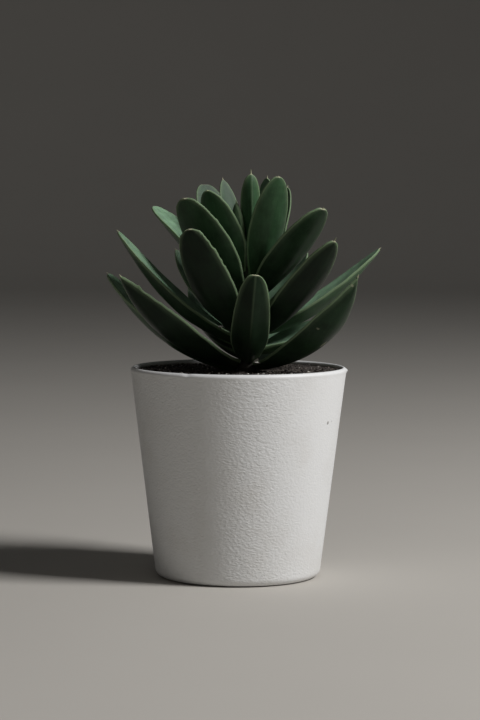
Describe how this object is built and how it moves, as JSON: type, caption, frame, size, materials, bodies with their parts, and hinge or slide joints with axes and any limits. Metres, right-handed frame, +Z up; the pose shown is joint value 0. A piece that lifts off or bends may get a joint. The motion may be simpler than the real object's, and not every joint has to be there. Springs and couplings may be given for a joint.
{
  "type": "potted haworthia",
  "caption": "Rosette succulent of thick, pointed, boat-shaped leaves on a short stem, standing in soil in a plain tapered pot with a thin smooth lip.",
  "frame": {"origin": "centre of the pot's flat underside", "axes": "+Z up along the pot's axis, -Y towards the viewer of the picture, +X to the viewer's right"},
  "size_m": [0.1032, 0.0825, 0.1495],
  "materials": {
    "pot": "matte",
    "soil": "matte",
    "stem": "matte",
    "leaf": "satin"
  },
  "bodies": {
    "root": {"pot": "pot", "soil": "soil", "stem": "stem", "leaf_01": "leaf", "leaf_02": "leaf", "leaf_03": "leaf", "leaf_04": "leaf", "leaf_05": "leaf", "leaf_06": "leaf", "leaf_07": "leaf", "leaf_08": "leaf", "leaf_09": "leaf", "leaf_10": "leaf", "leaf_11": "leaf", "leaf_12": "leaf", "leaf_13": "leaf", "leaf_14": "leaf", "leaf_15": "leaf", "leaf_16": "leaf", "leaf_17": "leaf", "leaf_18": "leaf", "leaf_19": "leaf", "leaf_20": "leaf", "leaf_21": "leaf", "leaf_22": "leaf", "leaf_23": "leaf", "leaf_24": "leaf", "leaf_25": "leaf", "leaf_26": "leaf", "leaf_27": "leaf", "leaf_28": "leaf", "leaf_29": "leaf", "leaf_30": "leaf", "leaf_31": "leaf", "leaf_32": "leaf"}
  },
  "joints": []
}
